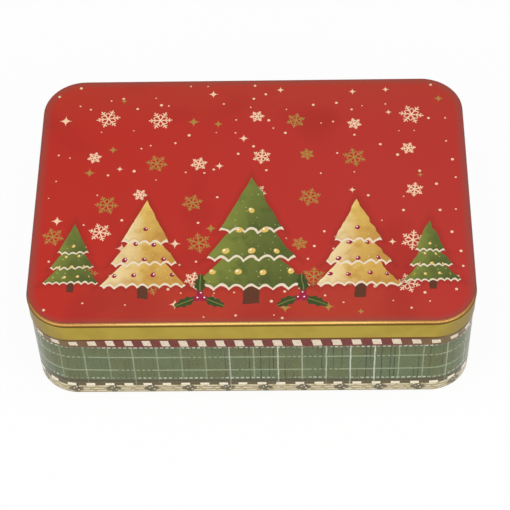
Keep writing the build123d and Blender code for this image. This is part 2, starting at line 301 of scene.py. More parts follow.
def lay_floor():
    """A white floor that keeps a soft shadow, and shows near white where it is seen or reflected."""
    half = floor_half_width
    mesh = bpy.data.meshes.new("floor")
    corners = [(-half, -half, 0), (half, -half, 0), (half, half, 0), (-half, half, 0)]
    mesh.from_pydata(corners, [], [(0, 1, 2, 3)])
    floor = put("floor", mesh)
    paint = Paint("studio_floor")
    paint.set(Base_Color=(0.9, 0.9, 0.9), Roughness=0.9, Specular_IOR_Level=0.0)
    glow = paint.add("ShaderNodeEmission", {"Color": (1, 1, 1), "Strength": 1.0})
    camera_ray = paint.add("ShaderNodeLightPath", out="Is Camera Ray")
    glossy_ray = paint.add("ShaderNodeLightPath", out="Is Glossy Ray")
    share = camera_ray.most(glossy_ray) * floor_glow
    white = Field(paint, paint.shader.outputs[0])
    mixed = paint.add("ShaderNodeMixShader", {0: share, 1: white, 2: glow})
    paint.feed(paint.output.inputs["Surface"], mixed)
    mesh.materials.append(paint.material)


# ---- Prints ----------------------------------------------------------------------------------

cream = srgb(228, 212, 186)
flake_cream = srgb(238, 202, 168)
gold_ink = srgb(168, 130, 62)
lid_red = srgb(181, 43, 31)
lid_rose_red = srgb(178, 49, 41)
lid_brown_red = srgb(172, 60, 40)
lid_dark_red = srgb(158, 36, 30)
bright_green = srgb(132, 140, 60)
leaf_green = srgb(110, 120, 52)
deep_green = srgb(78, 88, 40)
holly_green = srgb(58, 72, 34)
pale_gold = srgb(240, 222, 180)
tan_gold = srgb(220, 184, 94)
deep_tan = srgb(186, 138, 64)
soft_shadow = srgb(112, 34, 26)
glitter = srgb(226, 222, 166)
trunk_brown = srgb(92, 52, 34)
crimson = srgb(150, 30, 62)
glint_white = (0.95, 0.93, 0.88)
berry_glint = (0.95, 0.9, 0.85)

flake_pitch = 23.0  # each cell of this size has room for one six-armed flake
flake_shift = 9.0
flake_least = 3.2
flake_spread = 2.6
flake_margin = 8.0  # between a flake's middle and the lid's edge
flake_stroke = 0.3
speck_pitch = 7.5
speck_shift = 5.0
speck_margin = 2.6
sparkle_pitch = 15.0
sparkle_shift = 8.0
sparkle_margin = 6.0
glitter_pitch = 3.2

tier_share = 0.46  # of a tree's height, for each of its three tiers
tier_rise = 0.22  # and how much higher and narrower each next one is
side_tree_out = 78.5
side_tree = {"foot": -52.0, "height": 37.0, "half_width": 13.0, "hem": 0.9}
gold_tree_out = 47.0
gold_tree = {"foot": -56.0, "height": 54.0, "half_width": 20.0, "hem": 1.2}
middle_tree = {"foot": -59.0, "height": 70.0, "half_width": 27.0, "hem": 1.4}
holly_out = 22.0
holly_down = 55.0
leaf_reach = 6.6
leaf_circle = 8.2  # a leaf is where two circles of this radius overlap
leaf_apart = 6.0
berry_radius = 1.5
berries = ((0.0, 1.5), (-1.5, -1.0), (1.5, -1.0))


def length_of(x, y):
    """The distance from the origin of a pair of fields."""
    return (x * x + y * y).root()


def cover(distance, softness=0.12):
    """1 inside a shape and 0 outside, from a signed distance in millimetres."""
    return (0.5 - distance / softness).clip()


def inset_from_edge(x, y):
    """How far a point lies in from the lid's rounded outline, in millimetres."""
    past_x = x.size() - core_x
    past_y = y.size() - core_y
    outside = length_of(past_x.most(0.0), past_y.most(0.0))
    inside = past_x.most(past_y).least(0.0)
    return outline_corner - outside - inside


def random_cells(paint, x, y, pitch, seed):
    """Squares of one pitch: the place in the square from its middle, and three random numbers."""
    column = (x / pitch + 0.5).floor()
    row = (y / pitch + 0.5).floor()
    key = paint.vector(column, row, seed)
    colour = paint.add("ShaderNodeTexWhiteNoise", {0: key}, out="Color", noise_dimensions="3D")
    chances = paint.parts(colour)
    return x - column * pitch, y - row * pitch, column * pitch, row * pitch, chances


def snowflake(x, y, radius, stroke):
    """Signed distance to six arms with two pairs of branches each, folded about every arm."""
    sixth = math.pi / 3
    reach = length_of(x, y)
    turn = y.op("ARCTAN2", x)
    folded = ((turn / sixth + 0.5).fract() - 0.5).size() * sixth
    along = reach * folded.cos()
    across = reach * folded.sin()
    flake = (across - stroke).most(along - radius)
    for start, length in ((0.42, 0.34), (0.68, 0.24)):
        out = along - radius * start
        ahead = out * 0.5 + across * 0.866
        beside = (across * 0.5 - out * 0.866).size()
        twig = (beside - stroke * 0.8).most(ahead - radius * length).most(-ahead)
        flake = flake.least(twig)
    return flake.least(reach - radius * 0.14)


def sparkle(x, y, radius):
    """Signed distance, nearly, to a star with four hollow-sided points."""
    spread = (x.size() / radius).root() + (y.size() / radius).root()
    return (spread - 1.0) * radius * 0.5


def nearest_flake(paint, x, y):
    """The six-armed flake of a point's cell: the place from its middle, its radius and its chances."""
    u, v, at_x, at_y, chances = random_cells(paint, x, y, flake_pitch, 29.0)
    one, two, three = chances
    shift_x = (one - 0.5) * flake_shift
    shift_y = (two - 0.5) * flake_shift
    radius = flake_least + ((one + two) * 3.0).fract() * flake_spread
    inside = inset_from_edge(at_x + shift_x, at_y + shift_y) > flake_margin
    shown = inside * ((one + three * 2.0).fract() > 0.14)
    return u - shift_x, v - shift_y, radius, shown, chances


def scattered(paint, x, y, pitch, seed, jitter, margin):
    """One small mark in each cell, kept off the edge and off the flakes."""
    u, v, at_x, at_y, chances = random_cells(paint, x, y, pitch, seed)
    shift_x = (chances[0] - 0.5) * jitter
    shift_y = (chances[1] - 0.5) * jitter
    middle_x = at_x + shift_x
    middle_y = at_y + shift_y
    flake_u, flake_v, radius, flake_shown, _ = nearest_flake(paint, middle_x, middle_y)
    apart = length_of(flake_u, flake_v) > radius * flake_shown + margin * 0.5
    return u - shift_x, v - shift_y, chances, apart * (inset_from_edge(middle_x, middle_y) > margin)


def scatter_flakes(paint, ground, x, y):
    """Snow: specks, four-pointed sparkles and six-armed flakes, each in its own cell."""
    place = scattered(paint, x, y, speck_pitch, 3.0, speck_shift, speck_margin)
    u, v, (one, two, three), clear = place
    shown = clear * ((one + two).fract() > 0.6)
    speck = length_of(u, v) - (0.28 + three * 0.45)
    ground = paint.mix(cover(speck, 0.2) * shown, ground, flake_cream)
    place = scattered(paint, x, y, sparkle_pitch, 11.0, sparkle_shift, sparkle_margin)
    u, v, (one, two, three), clear = place
    shown = clear * ((one + three).fract() > 0.4)
    colour = paint.mix(two > 0.5, gold_ink, flake_cream)
    ground = paint.mix(cover(sparkle(u, v, 1.8 + three * 1.6)) * shown, ground, colour)
    u, v, radius, shown, (one, two, three) = nearest_flake(paint, x, y)
    angle = three * math.pi
    turned_u = u * angle.cos() + v * angle.sin()
    turned_v = v * angle.cos() - u * angle.sin()
    colour = paint.mix((two + three).fract() > 0.45, gold_ink, flake_cream)
    flake = cover(snowflake(turned_u, turned_v, radius, flake_stroke))
    return paint.mix(flake * shown, ground, colour)


def tree_tier(x, y, foot, height, half_width, tier):
    """One triangle of a tree: signed distance, height over its scalloped hem, and its half width."""
    scallop = half_width * 0.24
    tier_height = height * tier_share
    width = half_width * (1.0 - tier_rise * tier)
    bottom = foot + height * (0.1 + tier_rise * tier)
    slope = x.size() * tier_height - (bottom + tier_height - y) * width
    slope = slope / math.hypot(tier_height, width)
    wave = (x * (math.pi / scallop)).cos().size() * scallop * 0.35
    above = y - (bottom + wave)
    return slope.most(-above), above, width


def glitter_specks(paint, x, y):
    """Tiny dots, one in some of the cells of a fine grid."""
    u, v, _, _, (one, two, three) = random_cells(paint, x, y, glitter_pitch, 17.0)
    apart = length_of(u - (one - 0.5) * 2.0, v - (two - 0.5) * 2.0)
    return cover(apart - 0.1 - three * 0.14, 0.15) * ((one + three).fract() > 0.62)


def tree_baubles(paint, ground, x, y, foot, height, half_width, colour):
    """Small glinting balls in rows, in the body of a tree."""
    pitch = half_width * 0.42
    row = ((y - foot) / pitch).floor()
    shift = (row * 0.5).fract() * pitch
    u = (((x + shift) / pitch + 0.5).fract() - 0.5) * pitch
    v = (((y - foot) / pitch).fract() - 0.5) * pitch
    body = x.size() * height * 0.85 - (foot + height * 0.93 - y) * half_width
    body = body / math.hypot(height, half_width)
    inside = cover(body + 2.4) * ((y - foot) > height * 0.2)
    ball = length_of(u, v) - half_width * 0.055
    ground = paint.mix(cover(ball) * inside, ground, colour)
    off = half_width * 0.018
    spark = length_of(u + off, v - off) - half_width * 0.016
    return paint.mix(cover(spark) * inside, ground, glint_white)


def fir_tree(paint, ground, x, y, facing, foot, height, half_width, hem, shades, baubles):
    """Three tiers on a trunk, upper over lower, each hemmed with snow and lit from one side."""
    dark, middle, lit = shades
    tiers = [tree_tier(x, y, foot, height, half_width, tier) for tier in range(3)]
    reach = tiers[0][0].least(tiers[1][0]).least(tiers[2][0])
    ground = paint.mix(cover(reach - 0.9, 4.0) * 0.45, ground, soft_shadow)
    trunk = (x.size() - half_width * 0.12).most(foot - y).most(y - (foot + height * 0.2))
    ground = paint.mix(cover(trunk), ground, trunk_brown)
    mottle = paint.noise(paint.vector(x, y, foot), 0.16, detail=3.0).step_to(0.42, 0.72)
    for distance, above, width in tiers:
        shape = cover(distance)
        side = x * facing / width
        shade = (above / (height * tier_share) * 0.9 - side * 0.35 + 0.3 - mottle * 0.35).clip()
        cloth = paint.mix(shade, dark, middle)
        cloth = paint.mix((0.1 - side * 1.1 - mottle * 0.3).clip() * 0.8, cloth, lit)
        ground = paint.mix(shape, ground, cloth)
        snow = cover(distance.most(above - hem))
        ground = paint.mix(snow, ground, cream)
        under = cover(distance.most((above - hem - 0.5).size() - 0.5), 1.0)
        ground = paint.mix(under * 0.3, ground, dark)
    specks = glitter_specks(paint, x, y) * cover(reach + 1.0)
    ground = paint.mix(specks * 0.8, ground, glitter)
    return tree_baubles(paint, ground, x, y, foot, height, half_width, baubles)


def holly_sprig(paint, ground, x, y):
    """Three pointed leaves round three berries."""
    for angle in (90, 205, 335):
        turn = math.radians(angle)
        along = x * math.cos(turn) + y * math.sin(turn) - leaf_reach
        across = (y * math.cos(turn) - x * math.sin(turn)).size()
        bulge = (along * 2.1).cos() * 0.35
        leaf = length_of(along, across + leaf_apart) - leaf_circle + bulge
        green = paint.mix(cover(across - 0.25), holly_green, leaf_green)
        ground = paint.mix(cover(leaf), ground, green)
    for berry_x, berry_y in berries:
        berry = length_of(x - berry_x, y - berry_y) - berry_radius
        ground = paint.mix(cover(berry), ground, crimson)
        glint = length_of(x - berry_x + 0.4, y - berry_y - 0.5) - 0.35
        ground = paint.mix(cover(glint), ground, berry_glint)
    return ground


def lid_ground(paint, x, y, ripple):
    """Clouded red, from orange on the left to rose on the right, and browner at the front and back."""
    near_front = y.step_to(-30.0, -62.0) * x.size().step_to(88.0, 55.0)
    near_back = y.step_to(36.0, 68.0)
    ground = paint.mix(x.step_to(-85.0, 85.0), lid_red, lid_rose_red)
    brown = (near_front * 0.65 + near_back * 0.45 + ripple * 0.25).clip()
    ground = paint.mix(brown, ground, lid_brown_red)
    cloud = paint.noise(paint.vector(x, y, 60.0), 0.028, detail=1.0)
    return paint.mix(cloud.step_to(0.5, 0.72) * 0.45, ground, lid_dark_red)


def lid_artwork(paint, x, y):
    """Snow on red, a row of fir trees and holly between them, mirrored about the middle."""
    wobble = paint.noise(paint.vector(x, y, 0.0), 0.09) - 0.5
    ripple = paint.noise(paint.vector(x, y, 40.0), 0.35) - 0.5
    ground = scatter_flakes(paint, lid_ground(paint, x, y, ripple), x, y)
    across = x + wobble * 3.0
    side = across.size() + wobble * 1.5
    tall = y + wobble * 2.5 + ripple * 0.6
    green = {"shades": (deep_green, leaf_green, bright_green), "baubles": tan_gold}
    gold = {"shades": (deep_tan, tan_gold, pale_gold), "baubles": crimson}
    facing = x.op("SIGN")
    ground = fir_tree(paint, ground, side - side_tree_out, tall, facing, **side_tree, **green)
    ground = fir_tree(paint, ground, side - gold_tree_out, tall, facing, **gold_tree, **gold)
    ground = fir_tree(paint, ground, across, tall, 1.0, **middle_tree, **green)
    return holly_sprig(paint, ground, side - holly_out, y + holly_down)


def side_facing(paint):
    """Above 0 where a sheet looks away from the tin's middle, below 0 where it looks inwards."""
    x, y, _ = paint.place()
    nx, ny, _ = paint.place("Normal")
    out_x = x - x.most(-core_x).least(core_x)
    out_y = y - y.most(-core_y).least(core_y)
    return nx * out_x + ny * out_y


def lacquer_sheen(paint, x, y, z, colour, dark):
    """Gold lacquer over tinplate: a slightly cloudy tone, for bare metal."""
    cloud = paint.noise(paint.vector(x, y, z), 0.12, detail=3.0)
    return paint.mix(cloud.step_to(0.35, 0.75), colour, dark)


def uneven_sheet(paint, x, y, z, grain, scale):
    """The slight ripple and grain of rolled sheet."""
    ripple = paint.noise(paint.vector(x, y, z), scale, detail=2.0)
    paint.bump(ripple * 0.7 + grain * 0.3, 0.02, 0.6)


gold_lacquer = (0.47, 0.347, 0.058)
gold_lacquer_dark = (0.42, 0.3, 0.05)
# the bead's gold: partly its own more orange lacquer, partly a painted highlight
bead_gold_and_highlight = (0.57, 0.36, 0.115)
# painted shade of the bead's gold towards its ends
bead_end_shade = (0.37, 0.175, 0.055)
inner_gold = (0.37, 0.278, 0.096)
inner_gold_dark = (0.345, 0.255, 0.085)
# painted shade: the bare gold of skirt and bead turns to this darker tone towards the sides and corners
side_shade_gold = (0.2, 0.175, 0.09)
# painted shade for the crease under the bead
crease_shade_brown = (0.13, 0.07, 0.012)
scuffed_metal = (0.55, 0.5, 0.4)
tray_ivory = srgb(226, 216, 194)
tray_ivory_dark = srgb(214, 202, 176)
lid_edge_sheen = (0.76, 0.7, 0.72)  # tint of the metal where it is seen along its face
side_shade_share = 0.6
bead_gold_width = 1.55  # bare gold along the front, in from the outline
bead_gold_least = 0.12  # and along the other sides, where the print runs over the bead
bead_drop = 0.4  # the bead's brighter gold, partly a painted highlight, begins this far below the top
bead_shade_from = 30.0  # painted shade: the bead turns a darker orange from here out, on both sides of the middle
bead_shade_to = 82.0
crease_height = lid_top - 1.15
crease_half = 1.0
crease_inset = 0.7
print_drop = 0.85  # the print ends this far below the top
rim_line_brown = srgb(110, 50, 25)
rim_line_width = 0.3
edge_shade_grey = srgb(98, 86, 76)
edge_shade_width = 4.5


def outward(x, y):
    """Which way a point near the edge looks: level parts of its direction out from the lid's core."""
    out_x = x - x.most(-core_x).least(core_x)
    out_y = y - y.most(-core_y).least(core_y)
    reach = length_of(out_x, out_y).most(0.001)
    return out_x / reach, out_y / reach


def bare_gold(out_y):
    """How far bare gold reaches in from the outline: widest along the front, a hair elsewhere."""
    return (-out_y).clip().root() * (bead_gold_width - bead_gold_least) + bead_gold_least


def lid_metal(paint, x, y, z, nz, inset, out_x):
    """Bare gold, darkened by painted shade at the sides, with a painted highlight on the bead, painted
    shade in the crease and a quieter lacquer inside: its colour, where it is bead and where it is
    inner.
    """
    metal = lacquer_sheen(paint, x, y, z, gold_lacquer, gold_lacquer_dark)
    outside = inset < bead_gold_width + 0.05
    # painted shade, darkening the bare gold towards the sides
    metal = paint.mix(out_x.size() * side_shade_share * outside, metal, side_shade_gold)
    bead = (z - lid_top + bead_drop).step_to(-0.3, 0.2) * outside
    # painted shade towards the bead's ends, where its highlight fades
    orange = x.size().step_to(bead_shade_from, bead_shade_to) * 0.85
    metal = paint.mix(bead, metal, paint.mix(orange, bead_gold_and_highlight, bead_end_shade))
    # painted shade along the crease under the bead
    crease = ((crease_half - (z - crease_height).size()) / 0.4).clip() * (inset < crease_inset)
    metal = paint.mix(crease * 0.92, metal, crease_shade_brown)
    inner = (nz < 0.2) * (inset > bead_gold_width)
    quiet = lacquer_sheen(paint, x, y, z, inner_gold, inner_gold_dark)
    return paint.mix(inner, metal, quiet), bead, inner


def lid_print(paint, x, y, nz, inset, print_edge):
    """The artwork, greyed by painted shade towards the lid's rounded edge, and a brown line where it
    ends.
    """
    # painted shade, greying the print towards the rounded edge
    edge_shade = (1.0 - inset / edge_shade_width).clip() * 0.55
    art = paint.mix(edge_shade, lid_artwork(paint, x, y), edge_shade_grey)
    rim_line = (1.0 - ((inset - print_edge).size() / rim_line_width).clip()) * (nz > 0.5)
    return paint.mix(rim_line * 0.5, art, rim_line_brown)


def paint_lid():
    """Printed panel inside a gold bead and skirt. Inside, the sheet is gold lacquered too."""
    paint = Paint("lid_print")
    x, y, z = paint.place()
    nz = paint.place("Normal")[2]
    inset = inset_from_edge(x, y)
    out_x, out_y = outward(x, y)
    print_edge = bare_gold(out_y)
    printed = (nz > 0.2) * (inset > print_edge) * (z > lid_top - print_drop)
    metal, bead, inner = lid_metal(paint, x, y, z, nz, inset, out_x)
    art = lid_print(paint, x, y, nz, inset, print_edge)
    grain = paint.noise(paint.vector(x, y, z), 0.9, detail=3.0)
    streaks = paint.noise(paint.vector(x * 0.15, y * 2.0, z * 2.0), 0.5, detail=2.0)
    bare_roughness = 0.27 + grain * 0.1 + bead * 0.13 + inner * 0.08
    print_roughness = 0.15 + grain * 0.1 + streaks * 0.05
    paint.set(
        Base_Color=paint.mix(printed, metal, art),
        Metallic=1.0 - printed,
        Roughness=paint.choose(printed, bare_roughness, print_roughness),
        Specular_IOR_Level=0.55,
        Specular_Tint=lid_edge_sheen,
    )
    uneven_sheet(paint, x, y, z, grain, 0.5)
    return paint


# Heights of the bands of the wall's print
rim_print_top = 42.6
# the painted shadow under the lid's skirt reaches down to here
skirt_shadow_foot = 41.55
check_foot = 36.9
stitch_heights = (35.9, 11.8)
plaid_lines = (28.4, 18.25)
shade_top = 10.6
shade_foot = 8.4
tab_foot = 6.4
tab_height = 1.7
tab_middle = 7.05

check_pitch = 8.275
plaid_pitch = 10.595
plaid_square = 9.9
stitch_pitch = 2.3
tab_pitch = 8.5
tab_shift = -3.8
motif_pitch = 17.0
motif_shift = -5.4

plaid_sage = srgb(98, 111, 71)
plaid_olive = srgb(101, 105, 57)
plaid_deep = srgb(83, 91, 52)
thread_dark = srgb(46, 52, 30)
line_pale = srgb(152, 164, 130)
line_white = srgb(206, 212, 194)
check_cream = srgb(230, 217, 190)
check_rose = srgb(218, 178, 164)
check_red = srgb(104, 10, 5)
check_faded = srgb(126, 50, 28)
# painted shade of the checks at the wall's corners
corner_shade_gold = srgb(116, 92, 46)
# painted shadow under the lid's skirt
skirt_shadow_brown = srgb(122, 74, 38)
shade_olive = srgb(70, 66, 32)
shade_light = srgb(106, 91, 56)
border_beige = srgb(190, 173, 130)
border_worn = srgb(158, 142, 100)
border_cream = srgb(250, 239, 214)
border_dark = srgb(84, 75, 44)

check_slant = 0.2
check_shift = 3.68
check_cream_half = check_pitch * 0.225
check_drift = 1.25  # how far the checks wander along the wall, and how often
check_drift_turn = 0.036
corner_shade_from = 58.0  # painted shade at the corners: the checks turn gold-brown from here to the second distance along the wall, and fade back to red between the third and the fourth
corner_shade_to = 84.0
corner_shade_end = 98.0
corner_shade_past = 120.0
cream_height = 4.5  # of the cream checks, and how much lower they end at the corners, under the painted shade
cream_drop = 1.4

faint_print = 0.35
thread_width = 0.42
thread_shifts = ((3.1, 20.0), (-3.7, 31.0), (1.3, 44.0))  # and a seed for each
level_width = 0.9
upright_width = 0.6
upright_shift = -0.67
tab_half = tab_pitch * 0.23
stroke_rows = ((5.5, 0.0), (3.7, 2.4), (2.0, 0.9))  # height and shift
stroke_pitch = 6.1
motif_petals = ((0.0, 4.9, 1.7), (-1.9, 3.6, 1.5), (1.9, 3.9, 1.4), (0.2, 2.2, 1.5))
motif_dots = ((-0.9, 4.1), (1.1, 3.0), (0.3, 5.1))

wall_corner = outline_corner - 0.53
bow_rise = 1.9  # the print climbs by this much at bow_run to the left of the middle of the front
bow_rise_right = 1.0
bow_run = 92.0
bow_reach = 84.0  # it climbs no more past this
bow_power = 3.5
sag = 0.7  # the stitches and the shaded band lie lower on the right of the front


def round_the_wall(x, y):
    """The distance along the wall from the middle of the front, negative to the left."""
    side = x.size()
    past_x = (side - core_x).most(0.0)
    past_front = (-y - core_y).most(0.0)
    past_back = (y - core_y).most(0.0)
    turn = past_x.op("ARCTAN2", past_front + 1e-4) + past_back.op("ARCTAN2", past_x + 1e-4)
    flat = side.least(core_x)
    behind = y > 0.0
    run = flat + behind * (2.0 * core_x - flat * 2.0)
    run = run + turn * wall_corner + (y.most(-core_y).least(core_y) + core_y)
    return run * x.op("SIGN")


def repeat(value, pitch, shift=0.0):
    """The place within one repeat, from its middle."""
    return (((value + shift) / pitch + 0.5).fract() - 0.5) * pitch


def band(value, middle, width, softness=0.12):
    """1 within a band of some width about a middle value."""
    return cover((value - middle).size() - width / 2, softness)


def strong_print(run):
    """1 where the print is crisp, on the right of the front, and lower where it is faint."""
    crisp = run.step_to(-24.0, -2.0) * run.step_to(92.0, 66.0)
    return crisp * (1.0 - faint_print) + faint_print


def plaid_cloth(paint, run, z, level, wobble):
    """Green squares in two tones, dark threads, pale level lines, some of them broken into dashes."""
    square = paint.vector((run / plaid_pitch).floor(), (level / plaid_square).floor(), 3.0)
    colour = paint.mix(paint.noise(square, 1.7).step_to(0.35, 0.65), plaid_olive, plaid_sage)
    patch = paint.noise(paint.vector(run * 0.6, z * 0.25, 7.0), 0.35, detail=3.0)
    colour = paint.mix(patch.step_to(0.35, 0.7) * 0.45, colour, plaid_deep)
    colour = paint.mix(z.step_to(31.0, 34.5) * 0.4, colour, plaid_deep)
    weave = paint.noise(paint.vector(run * 6.0, z * 0.3, 2.0), 0.5, detail=2.0)
    colour = paint.mix(weave.step_to(0.5, 0.75) * 0.2, colour, plaid_deep)
    for shift, seed in thread_shifts:
        column = ((run + shift) / plaid_pitch + 0.5).floor()
        strength = paint.noise(paint.vector(column, seed, z * 0.012), 2.3).step_to(0.42, 0.54)
        thread = band(repeat(run + wobble * 0.2, plaid_pitch, shift), 0.0, thread_width)
        colour = paint.mix(thread * strength * strong_print(run) * 0.95, colour, thread_dark)
    for height in plaid_lines:
        whole = paint.noise(paint.vector(run, height, 1.0), 0.05) > 0.46
        dashed = (repeat(run, stitch_pitch).size() < 0.75).most(whole)
        line = band(level, height, level_width, 0.3) * dashed
        colour = paint.mix(line * 0.9, colour, line_pale)
    return colour


def stitched_rows(paint, colour, run, level, wobble):
    """Short stitches in a row under the checks and in a row over the shaded band."""
    for height in stitch_heights:
        row = band(level, height, level_width, 0.3)
        stitch = row * (repeat(run + wobble, stitch_pitch).size() < 0.7)
        kept = paint.noise(paint.vector(run, height, 9.0), 0.12).step_to(0.38, 0.55)
        colour = paint.mix(stitch * (kept * 0.7 + 0.15), colour, line_white)
    return colour


def upright_lines(paint, colour, run, z, wobble):
    """One pale line for each square, some nearly white, that run out over the shaded band."""
    line = band(repeat(run + wobble * 0.35, plaid_pitch, upright_shift), 0.0, upright_width)
    number = ((run + upright_shift) / plaid_pitch + 0.5).floor()
    bright = paint.noise(paint.vector(number, 5.0, 0.0), 3.3).step_to(0.42, 0.58)
    worn = paint.noise(paint.vector(run, z, 12.0), 0.5).step_to(0.3, 0.6)
    reach = (0.3 + (z - shade_top) * 2.0).clip(0.0, 1.0).most(bright * 0.6)
    strong = strong_print(run)
    share = line * (worn * 0.3 + 0.6) * reach * (strong * 0.5 + 0.5)
    return paint.mix(share, colour, paint.mix(bright * strong, line_pale, line_white))


def slanted_checks(paint, colour, run, z, wobble, worn):
    """Cream and red checks, gold-brown under painted shade at the corners, up to a brown line of
    painted shadow under the lid's skirt. The pitch drifts, as in a drawn print.
    """
    drift = (run * check_drift_turn).cos() * check_drift
    slant = run + drift + (z - check_foot) * check_slant + wobble * 0.4
    out = run.size()
    # painted shade at the wall's corners: the checks turn gold-brown and the cream ones end lower
    corner_shade_share = out.step_to(corner_shade_from, corner_shade_to) * out.step_to(corner_shade_past, corner_shade_end)
    over = z > check_foot + out.step_to(26.0, 48.0) * 0.6
    under = z < check_foot + cream_height - corner_shade_share * cream_drop
    cream_share = (repeat(slant, check_pitch, check_shift).size() < check_cream_half) * over * under
    red_tone = paint.mix(worn.step_to(0.35, 0.75), check_red, check_faded)
    red_tone = paint.mix(corner_shade_share, red_tone, corner_shade_gold)
    cream_tone = paint.mix(worn.step_to(0.45, 0.8), check_cream, check_rose)
    checks = paint.mix(cream_share, red_tone, cream_tone)
    foot = check_foot + wobble * 0.25
    under_line = band(z - wobble * 0.25, check_foot - 0.2, 0.8, 0.4)
    colour = paint.mix(under_line * 0.7, colour, check_faded)
    colour = paint.mix(cover(foot - z), colour, checks)
    # painted shadow of the lid's skirt: a brown line along the top of the print
    return paint.mix(cover(skirt_shadow_foot - z, 0.5), colour, skirt_shadow_brown)


def leafy_clusters(paint, colour, run, z):
    """Dark ragged leaves in fours with a few cream dots, at a wide pitch."""
    u = repeat(run, motif_pitch, motif_shift)
    ragged = (paint.noise(paint.vector(run, z, 0.0), 2.0) - 0.5) * 2.2
    for du, dv, reach in motif_petals:
        petal = length_of(u - du, z - dv) - reach + ragged
        colour = paint.mix(cover(petal, 0.3) * 0.85, colour, border_dark)
    for du, dv in motif_dots:
        dot = length_of(u - du, z - dv) - 0.35
        colour = paint.mix(cover(dot), colour, border_cream)
    return colour


def foot_border(paint, colour, run, z, level, wobble, worn):
    """A shaded band, cream tabs, and a beige border with cream strokes and leafy clusters."""
    shade = paint.mix((z - shade_foot).step_to(0.9, -0.6), shade_olive, shade_light)
    colour = paint.mix(cover(z - shade_top, 0.4), colour, paint.mix(worn * 0.3, shade, shade_light))
    fleck = paint.noise(paint.vector(run, z * 1.6, 6.0), 1.6, detail=3.0, roughness=0.7)
    border = paint.mix(fleck.step_to(0.48, 0.7) * 0.8, border_beige, border_worn)
    colour = paint.mix(cover(z - tab_foot - wobble * 0.2), colour, border)
    for height, shift in stroke_rows:
        place = repeat(run + wobble, stroke_pitch, shift)
        under = band(level, height - 0.55, 0.5) * (place.size() < 2.5)
        colour = paint.mix(under * 0.5, colour, border_dark)
        stroke = band(level, height, 0.65, 0.3) * (place.size() < 2.2)
        colour = paint.mix(stroke * (0.95 - worn * 0.35), colour, border_cream)
    colour = leafy_clusters(paint, colour, run, z)
    gap = band(z, tab_foot + tab_height * 0.4, tab_height * 0.8, 0.3)
    colour = paint.mix(gap * 0.6, colour, shade_olive)
    tab = repeat(run + wobble * 0.5, tab_pitch, tab_shift).size() < tab_half
    return paint.mix(tab * band(z, tab_middle, tab_height), colour, border_cream)


def wall_artwork(paint, run, height):
    """From the top down: brown line of painted shadow under the skirt, checks, plaid with stitched
    rows, shaded band and border.
    """
    rise = run.step_to(-20.0, 20.0) * (bow_rise_right - bow_rise) + bow_rise
    bow = (run.size().least(bow_reach) / bow_run) ** bow_power * rise
    lowered = run.step_to(25.0, 50.0) * height.step_to(shade_foot, 10.0) * height.step_to(18.0, 13.0)
    z = height - bow * height.step_to(3.0, 14.0) + lowered * sag
    wobble = (paint.noise(paint.vector(run, z, 0.0), 0.22) - 0.5) * 1.2
    level = z + wobble * 0.25
    worn = paint.noise(paint.vector(run, z * 2.0, 4.0), 0.8, detail=3.0)
    colour = plaid_cloth(paint, run, z, level, wobble)
    colour = foot_border(paint, colour, run, z, level, wobble, worn)
    colour = stitched_rows(paint, colour, run, level, wobble)
    colour = upright_lines(paint, colour, run, z, wobble)
    return slanted_checks(paint, colour, run, z, wobble, worn)


def paint_wall():
    """The printed wall. Its inside, rim and fold under the foot are gold lacquered."""
    paint = Paint("body_print")
    x, y, z = paint.place()
    outer = side_facing(paint) > 0.0
    printed = outer * (z < rim_print_top) * (z > 0.25)
    run = round_the_wall(x, y)
    metal = lacquer_sheen(paint, x, y, z, inner_gold, inner_gold_dark)
    art = wall_artwork(paint, run, z)
    grain = paint.noise(paint.vector(x, y, z), 1.0, detail=3.0)
    paint.set(
        Base_Color=paint.mix(printed, metal, art),
        Metallic=1.0 - printed,
        Roughness=paint.choose(printed, 0.3 + grain * 0.1, 0.22 + grain * 0.12),
        Specular_IOR_Level=0.32,
    )
    uneven_sheet(paint, x, y, z, grain, 0.4)
    return paint


def paint_base():
    """Gold lacquered base, with the fine lines of rolled sheet and light scuffs where it has slid."""
    paint = Paint("base_lacquer")
    x, y, z = paint.place()
    rolled = paint.noise(paint.vector(x * 0.04, y * 4.0, z), 1.0, detail=3.0)
    scuff = paint.noise(paint.vector(x * 0.25, y * 2.4, z), 0.4, detail=4.0).step_to(0.6, 0.72)
    metal = lacquer_sheen(paint, x, y, z, gold_lacquer, gold_lacquer_dark)
    paint.set(
        Base_Color=paint.mix(scuff * 0.4, metal, scuffed_metal),
        Metallic=1.0,
        Roughness=0.26 + rolled * 0.14 + scuff * 0.15,
    )
    paint.bump(rolled, 0.01, 0.5)
    return paint


def paint_hinge(name, colour, line_scale):
    """Pressed and drawn metal: lines along the sheet, and darker in random patches."""
    paint = Paint(name)
    x, y, z = paint.place()
    lines = paint.noise(paint.vector(x * 0.1, y * line_scale, z * line_scale), 2.0, detail=3.0)
    dull = paint.noise(paint.vector(x, y, z), 0.6, detail=4.0).step_to(0.45, 0.75)
    darker = tuple(c * 0.55 for c in colour)
    paint.set(
        Base_Color=paint.mix(dull * 0.35, colour, darker),
        Metallic=1.0,
        Roughness=0.24 + lines * 0.16 + dull * 0.12,
    )
    paint.bump(lines, 0.015, 0.6)
    return paint


def paint_tray():
    """Formed ivory plastic, matt with a fine grain and a little translucent."""
    paint = Paint("tray_plastic")
    x, y, z = paint.place()
    grain = paint.noise(paint.vector(x, y, z), 2.6, detail=4.0, roughness=0.6)
    tone = paint.noise(paint.vector(x, y, z), 0.06, detail=2.0)
    paint.set(
        Base_Color=paint.mix(tone, tray_ivory, tray_ivory_dark),
        Roughness=0.42 + grain * 0.18,
        Subsurface_Weight=0.05,
    )
    paint.bump(grain, 0.03, 0.5)
    return paint


# ---- Cards and paper -------------------------------------------------------------------------

